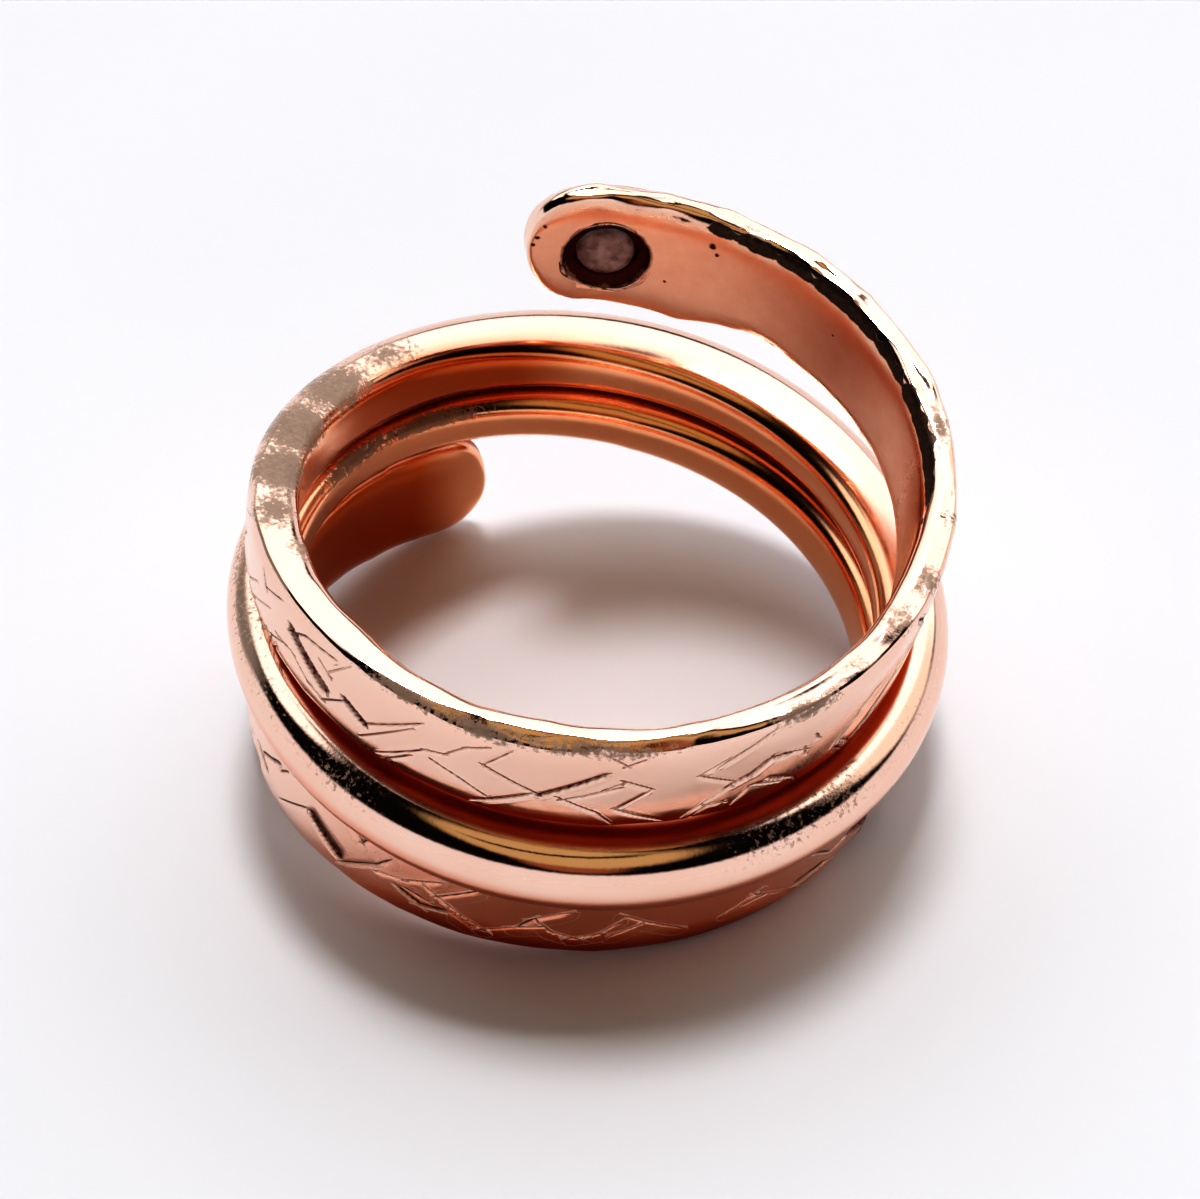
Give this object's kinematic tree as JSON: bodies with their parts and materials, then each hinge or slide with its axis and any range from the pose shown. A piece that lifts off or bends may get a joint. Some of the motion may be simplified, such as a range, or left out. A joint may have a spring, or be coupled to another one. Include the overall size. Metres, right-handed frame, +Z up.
{
  "type": "wrap ring",
  "caption": "Open coil ring forged from one wire: round in the middle, hammered to flat bands at both ends, with a small stone in the raised end.",
  "frame": {"origin": "where the coil axis meets the surface that the ring rests on", "axes": "+Z up from the resting surface, the coil axis leaning 9 degrees to +X and 2 towards -Y; -Y is the front, where the middle of the wire lies between the two flat bands"},
  "size_m": [0.0225, 0.0232, 0.0149],
  "materials": {
    "copper": null,
    "stone": null
  },
  "bodies": {
    "root": {"coil_band": "copper", "stone": "stone"}
  },
  "joints": []
}
